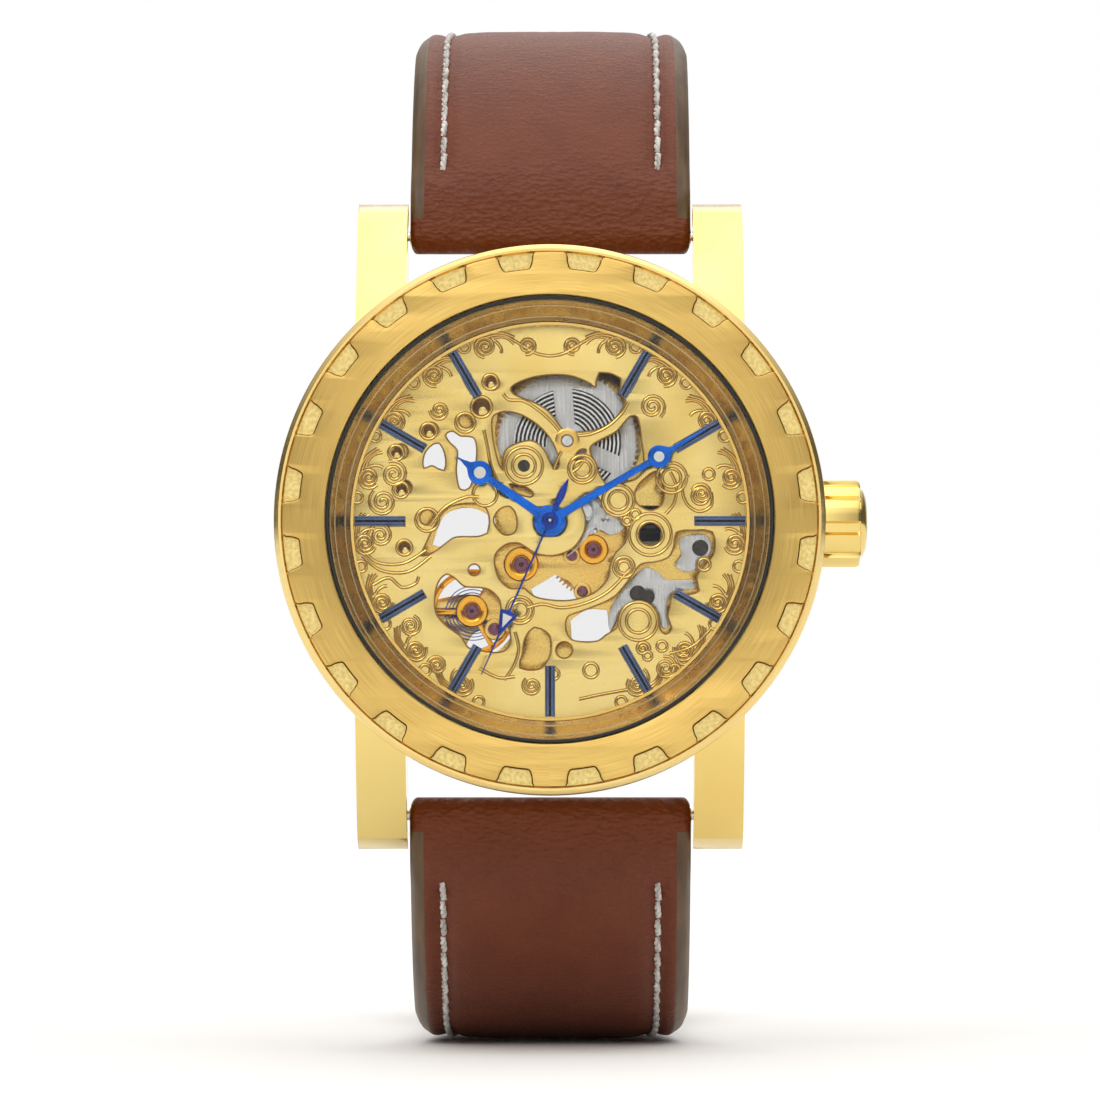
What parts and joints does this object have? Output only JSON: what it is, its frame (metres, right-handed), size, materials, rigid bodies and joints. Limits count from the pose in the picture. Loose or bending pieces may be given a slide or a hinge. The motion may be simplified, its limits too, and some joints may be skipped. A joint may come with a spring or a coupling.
{
  "type": "skeleton wristwatch",
  "caption": "Round gold-tone skeleton wristwatch with a castellated bezel, open-worked hand-wound movement, blued hands, fluted crown and a tapered brown leather strap with a pin buckle.",
  "frame": {"origin": "centre of the outer face of the case-back glass, on the axis of the hands", "axes": "+Y out of the case back towards the wrist, so the dial faces -Y; +Z towards 12 o'clock; +X towards the crown at 3 o'clock"},
  "size_m": [0.0493, 0.1078, 0.0902],
  "materials": {
    "case_gold": "polished yellow gold plate",
    "brushed_gold": "brushed yellow gold plate",
    "plate_gold": "brushed gilt plate with engraving",
    "steel": "fine brushed steel",
    "dark_steel": "polished blackened steel",
    "brass": "gilt brass",
    "blued_steel": "blued and polished steel",
    "rubber": "matt black",
    "glass": "clear polished",
    "leather": "grained brown calf"
  },
  "bodies": {
    "case": {"case_middle": "case_gold", "bezel_rim": "case_gold", "bezel_ring": "brushed_gold", "crystal": "glass", "crystal_gasket": "rubber", "rehaut_ring": "case_gold", "case_back_ring": "case_gold", "case_back_glass": "glass", "case_back_gasket": "rubber", "movement_ring": "brass", "crown_tube": "steel", "main_plate": "plate_gold", "dial_plate": "plate_gold", "barrel_bridge": "plate_gold", "train_bridge": "plate_gold", "balance_cock": "plate_gold", "pallet_cock": "plate_gold", "jumper_cover": "steel", "setting_lever_screw": "dark_steel", "yoke_screw": "dark_steel", "barrel_bridge_screw": "dark_steel", "train_bridge_screw": "dark_steel", "balance_cock_screw": "dark_steel", "hour_markers": "blued_steel", "spring_bar_upper": "steel", "spring_bar_lower": "steel"},
    "crown_slide": {"crown_gasket": "rubber"},
    "crown": {"crown": "case_gold", "winding_stem": "steel"},
    "winding_pinion": {"winding_pinion": "steel"},
    "sliding_pinion": {"sliding_pinion": "dark_steel"},
    "crown_wheel": {"crown_wheel": "steel", "crown_wheel_screw": "dark_steel"},
    "ratchet": {"ratchet_wheel": "steel", "barrel_arbor": "steel"},
    "click": {"click": "steel"},
    "setting_lever": {"setting_lever": "steel"},
    "yoke": {"yoke": "steel"},
    "barrel": {"barrel_drum": "steel", "mainspring": "steel"},
    "minutes": {"centre_wheel": "brass", "cannon_pinion": "steel", "minute_hand": "blued_steel"},
    "third": {"third_wheel": "brass"},
    "seconds": {"fourth_wheel": "brass", "seconds_hand": "blued_steel"},
    "escape": {"escape_wheel": "steel"},
    "hours": {"hour_wheel": "brass", "hour_hand": "blued_steel"},
    "minute_wheel": {"minute_wheel": "brass"},
    "balance": {"balance_wheel": "brass", "hairspring": "blued_steel"},
    "pallets": {"pallet_fork": "steel"},
    "strap_upper": {"strap_upper": "leather", "keeper_fixed": "leather", "buckle_spring_bar": "steel"},
    "buckle_frame": {"buckle_frame": "case_gold"},
    "buckle_tongue": {"buckle_tongue": "case_gold"},
    "keeper_free": {"keeper_free": "leather"},
    "strap_lower": {"strap_lower": "leather"}
  },
  "joints": [
    {"name": "crown_pull", "type": "slide", "parent": "case", "child": "crown_slide", "axis": [1, 0, 0], "range_m": [0, 0.0012]},
    {"name": "crown_turn", "type": "hinge", "parent": "crown_slide", "child": "crown", "pos_m": [0.024, -0.0048, 0], "axis": [1, 0, 0], "continuous": true},
    {"name": "winding_pinion_turn", "type": "hinge", "parent": "case", "child": "winding_pinion", "pos_m": [0.0103, -0.0048, 0], "axis": [1, 0, 0], "continuous": true},
    {"name": "sliding_pinion_turn", "type": "hinge", "parent": "case", "child": "sliding_pinion", "pos_m": [0.00835, -0.0048, 0], "axis": [1, 0, 0], "continuous": true},
    {"name": "crown_wheel_turn", "type": "hinge", "parent": "case", "child": "crown_wheel", "pos_m": [0.0069, -0.0028, 0], "axis": [0, 1, 0], "continuous": true},
    {"name": "ratchet_turn", "type": "hinge", "parent": "case", "child": "ratchet", "pos_m": [0.00143, -0.0028, 0.0067], "axis": [0, 1, 0], "continuous": true},
    {"name": "click_swing", "type": "hinge", "parent": "case", "child": "click", "pos_m": [-0.0049, -0.0028, 0.009], "axis": [0, 1, 0], "range_deg": [-10, 4], "stiffness_Nm_per_rad": 0.000002},
    {"name": "setting_lever_swing", "type": "hinge", "parent": "case", "child": "setting_lever", "pos_m": [0.0125, -0.008, -0.0022], "axis": [0, 1, 0], "range_deg": [0, 7]},
    {"name": "yoke_swing", "type": "hinge", "parent": "case", "child": "yoke", "pos_m": [0.0073, -0.008, -0.006], "axis": [0, 1, 0], "range_deg": [-3, 0]},
    {"name": "seconds_turn", "type": "hinge", "parent": "case", "child": "seconds", "pos_m": [0, -0.00406, 0], "axis": [0, 1, 0], "continuous": true},
    {"name": "minutes_turn", "type": "hinge", "parent": "case", "child": "minutes", "pos_m": [0, -0.0048, 0], "axis": [0, 1, 0], "continuous": true},
    {"name": "third_turn", "type": "hinge", "parent": "case", "child": "third", "pos_m": [0.0036, -0.0044, -0.00232], "axis": [0, 1, 0], "continuous": true},
    {"name": "escape_turn", "type": "hinge", "parent": "case", "child": "escape", "pos_m": [-0.0024, -0.0061, -0.00355], "axis": [0, 1, 0], "continuous": true},
    {"name": "hours_turn", "type": "hinge", "parent": "case", "child": "hours", "pos_m": [0, -0.0082, 0], "axis": [0, 1, 0], "continuous": true},
    {"name": "minute_wheel_turn", "type": "hinge", "parent": "case", "child": "minute_wheel", "pos_m": [0.00295, -0.0079, 0.00095], "axis": [0, 1, 0], "continuous": true},
    {"name": "barrel_turn", "type": "hinge", "parent": "case", "child": "barrel", "pos_m": [0.00143, -0.0058, 0.0067], "axis": [0, 1, 0], "continuous": true},
    {"name": "balance_swing", "type": "hinge", "parent": "case", "child": "balance", "pos_m": [-0.0065, -0.0052, -0.00745], "axis": [0, 1, 0], "range_deg": [-135, 135], "stiffness_Nm_per_rad": 0.0000002},
    {"name": "pallet_swing", "type": "hinge", "parent": "case", "child": "pallets", "pos_m": [-0.00446, -0.0061, -0.00551], "axis": [0, 1, 0], "range_deg": [-5, 5]},
    {"name": "strap_upper_swing", "type": "hinge", "parent": "case", "child": "strap_upper", "pos_m": [0, -0.0018, 0.0244], "axis": [1, 0, 0], "range_deg": [-10, 40]},
    {"name": "buckle_frame_swing", "type": "hinge", "parent": "strap_upper", "child": "buckle_frame", "pos_m": [0, 0.05677, 0.03674], "axis": [1, 0, 0], "range_deg": [-40, 40]},
    {"name": "buckle_tongue_swing", "type": "hinge", "parent": "buckle_frame", "child": "buckle_tongue", "pos_m": [0, 0.05677, 0.03674], "axis": [1, 0, 0], "range_deg": [0, 90]},
    {"name": "keeper_free_slide", "type": "slide", "parent": "strap_upper", "child": "keeper_free", "axis": [0, 0.9803, -0.1977], "range_m": [-0.004, 0.0024]},
    {"name": "strap_lower_swing", "type": "hinge", "parent": "case", "child": "strap_lower", "pos_m": [0, -0.0018, -0.0244], "axis": [-1, 0, 0], "range_deg": [-10, 40]}
  ],
  "couplings": [
    {"joint": "winding_pinion_turn", "follows": "crown_turn", "ratio": 1},
    {"joint": "sliding_pinion_turn", "follows": "crown_turn", "ratio": 1},
    {"joint": "crown_wheel_turn", "follows": "crown_turn", "ratio": -0.48387},
    {"joint": "ratchet_turn", "follows": "crown_turn", "ratio": 0.27273},
    {"joint": "setting_lever_swing", "follows": "crown_pull", "rad_per_m": 100},
    {"joint": "yoke_swing", "follows": "crown_pull", "rad_per_m": -40},
    {"joint": "minutes_turn", "follows": "seconds_turn", "ratio": 0.016667},
    {"joint": "third_turn", "follows": "seconds_turn", "ratio": -0.13333},
    {"joint": "escape_turn", "follows": "seconds_turn", "ratio": -10},
    {"joint": "hours_turn", "follows": "seconds_turn", "ratio": 0.0013889},
    {"joint": "minute_wheel_turn", "follows": "seconds_turn", "ratio": -0.0083333},
    {"joint": "barrel_turn", "follows": "seconds_turn", "ratio": -0.0022222}
  ]
}
